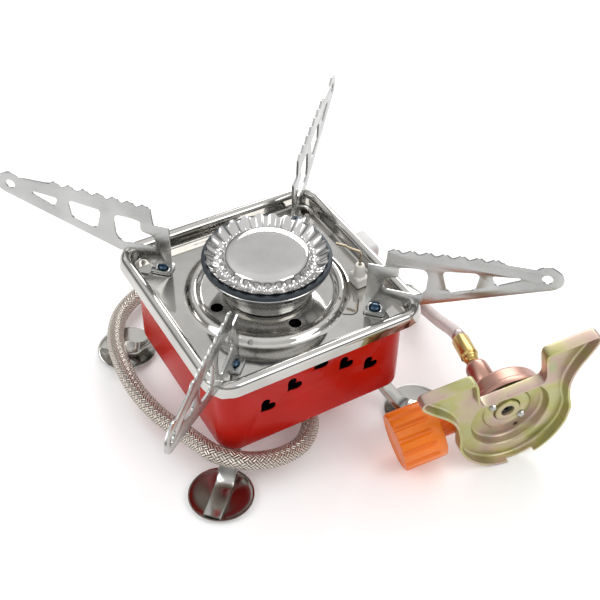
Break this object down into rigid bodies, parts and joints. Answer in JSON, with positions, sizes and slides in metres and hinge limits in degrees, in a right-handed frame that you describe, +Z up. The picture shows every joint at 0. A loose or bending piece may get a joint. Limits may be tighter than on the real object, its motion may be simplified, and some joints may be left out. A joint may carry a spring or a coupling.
{
  "type": "folding camping stove",
  "caption": "Folding camping stove: square steel tray on a pierced red pan, round burner, toothed folding pot arms and feet, push igniter, and a braided hose to a cartridge regulator.",
  "frame": {"origin": "on the ground, straight below the burner axis", "axes": "+Z up, the pierced front of the pan faces -Y, the igniter button is on the +X side"},
  "size_m": [0.1916, 0.1954, 0.0997],
  "materials": {
    "tray_steel": "polished stainless sheet",
    "arm_steel": "bright zinc plate",
    "burner_chrome": "chrome plate",
    "ring_slate": "dark oxide",
    "pan_red": "gloss enamel",
    "ceramic_white": "glazed",
    "brass": "satin",
    "button_grey": "moulded",
    "plastic_black": "moulded",
    "rubber_black": "moulded",
    "rivet_blue": "blued",
    "leg_steel": "polished stainless sheet",
    "hose_braid": "fine woven wire",
    "pipe_steel": "satin",
    "valve_rose": "rose coloured plate",
    "plate_chromate": "yellow chromate",
    "knob_orange": "moulded"
  },
  "bodies": {
    "stove": {"arm_rivet_back_left": "rivet_blue", "arm_rivet_back_right": "rivet_blue", "arm_rivet_front_left": "rivet_blue", "arm_rivet_front_right": "rivet_blue", "body_pan": "pan_red", "burner_cup": "burner_chrome", "burner_nut": "leg_steel", "burner_ring": "ring_slate", "cartridge_seat": "leg_steel", "electrode_insulator": "ceramic_white", "electrode_wire": "brass", "flame_cap": "burner_chrome", "gas_jet": "brass", "gas_pipe": "pipe_steel", "hose": "hose_braid", "hose_inlet_sleeve": "leg_steel", "hose_sleeve": "leg_steel", "igniter_body": "plastic_black", "ignition_lead": "rubber_black", "inlet_elbow": "brass", "inlet_nut": "brass", "jet_holder": "brass", "leg_rivet_back_left": "leg_steel", "leg_rivet_back_right": "leg_steel", "leg_rivet_front_left": "leg_steel", "leg_rivet_front_right": "leg_steel", "mixing_tube": "leg_steel", "neck_nut": "valve_rose", "nozzle_seal": "rubber_black", "pipe_ferrule": "brass", "plate_screw_0": "leg_steel", "plate_screw_1": "leg_steel", "regulator_plate": "plate_chromate", "tray": "tray_steel", "valve_body": "valve_rose"},
    "igniter_button": {"igniter_button": "button_grey"},
    "control_knob": {"control_knob": "knob_orange", "valve_spindle": "brass"},
    "arm_front_right": {"arm_front_right": "arm_steel"},
    "leg_front_right": {"leg_front_right": "leg_steel"},
    "arm_back_right": {"arm_back_right": "arm_steel"},
    "leg_back_right": {"leg_back_right": "leg_steel"},
    "arm_back_left": {"arm_back_left": "arm_steel"},
    "leg_back_left": {"leg_back_left": "leg_steel"},
    "arm_front_left": {"arm_front_left": "arm_steel"},
    "leg_front_left": {"leg_front_left": "leg_steel"}
  },
  "joints": [
    {"name": "arm_front_right_fold", "type": "hinge", "parent": "stove", "child": "arm_front_right", "pos_m": [0.03454, -0.03454, 0.0594], "axis": [0, 0, -1], "range_deg": [0, 125]},
    {"name": "leg_front_right_fold", "type": "hinge", "parent": "stove", "child": "leg_front_right", "pos_m": [0.03535, -0.03535, 0.0179], "axis": [0, 0, 1], "range_deg": [0, 135]},
    {"name": "arm_back_right_fold", "type": "hinge", "parent": "stove", "child": "arm_back_right", "pos_m": [0.03454, 0.03454, 0.0594], "axis": [0, 0, -1], "range_deg": [0, 125]},
    {"name": "leg_back_right_fold", "type": "hinge", "parent": "stove", "child": "leg_back_right", "pos_m": [0.03535, 0.03535, 0.0179], "axis": [0, 0, 1], "range_deg": [0, 135]},
    {"name": "arm_back_left_fold", "type": "hinge", "parent": "stove", "child": "arm_back_left", "pos_m": [-0.03454, 0.03454, 0.0594], "axis": [0, 0, -1], "range_deg": [0, 125]},
    {"name": "leg_back_left_fold", "type": "hinge", "parent": "stove", "child": "leg_back_left", "pos_m": [-0.03535, 0.03535, 0.0179], "axis": [0, 0, 1], "range_deg": [0, 135]},
    {"name": "arm_front_left_fold", "type": "hinge", "parent": "stove", "child": "arm_front_left", "pos_m": [-0.03454, -0.03454, 0.0594], "axis": [0, 0, -1], "range_deg": [0, 125]},
    {"name": "leg_front_left_fold", "type": "hinge", "parent": "stove", "child": "leg_front_left", "pos_m": [-0.03535, -0.03535, 0.0179], "axis": [0, 0, 1], "range_deg": [0, 135]},
    {"name": "igniter_push", "type": "slide", "parent": "stove", "child": "igniter_button", "axis": [-1, 0, 0], "range_m": [0, 0.002], "stiffness_N_per_m": 800},
    {"name": "valve_turn", "type": "hinge", "parent": "stove", "child": "control_knob", "pos_m": [0.02474, -0.07125, 0.0135], "axis": [-0.9596, 0.1935, -0.2045], "range_deg": [0, 340]}
  ]
}
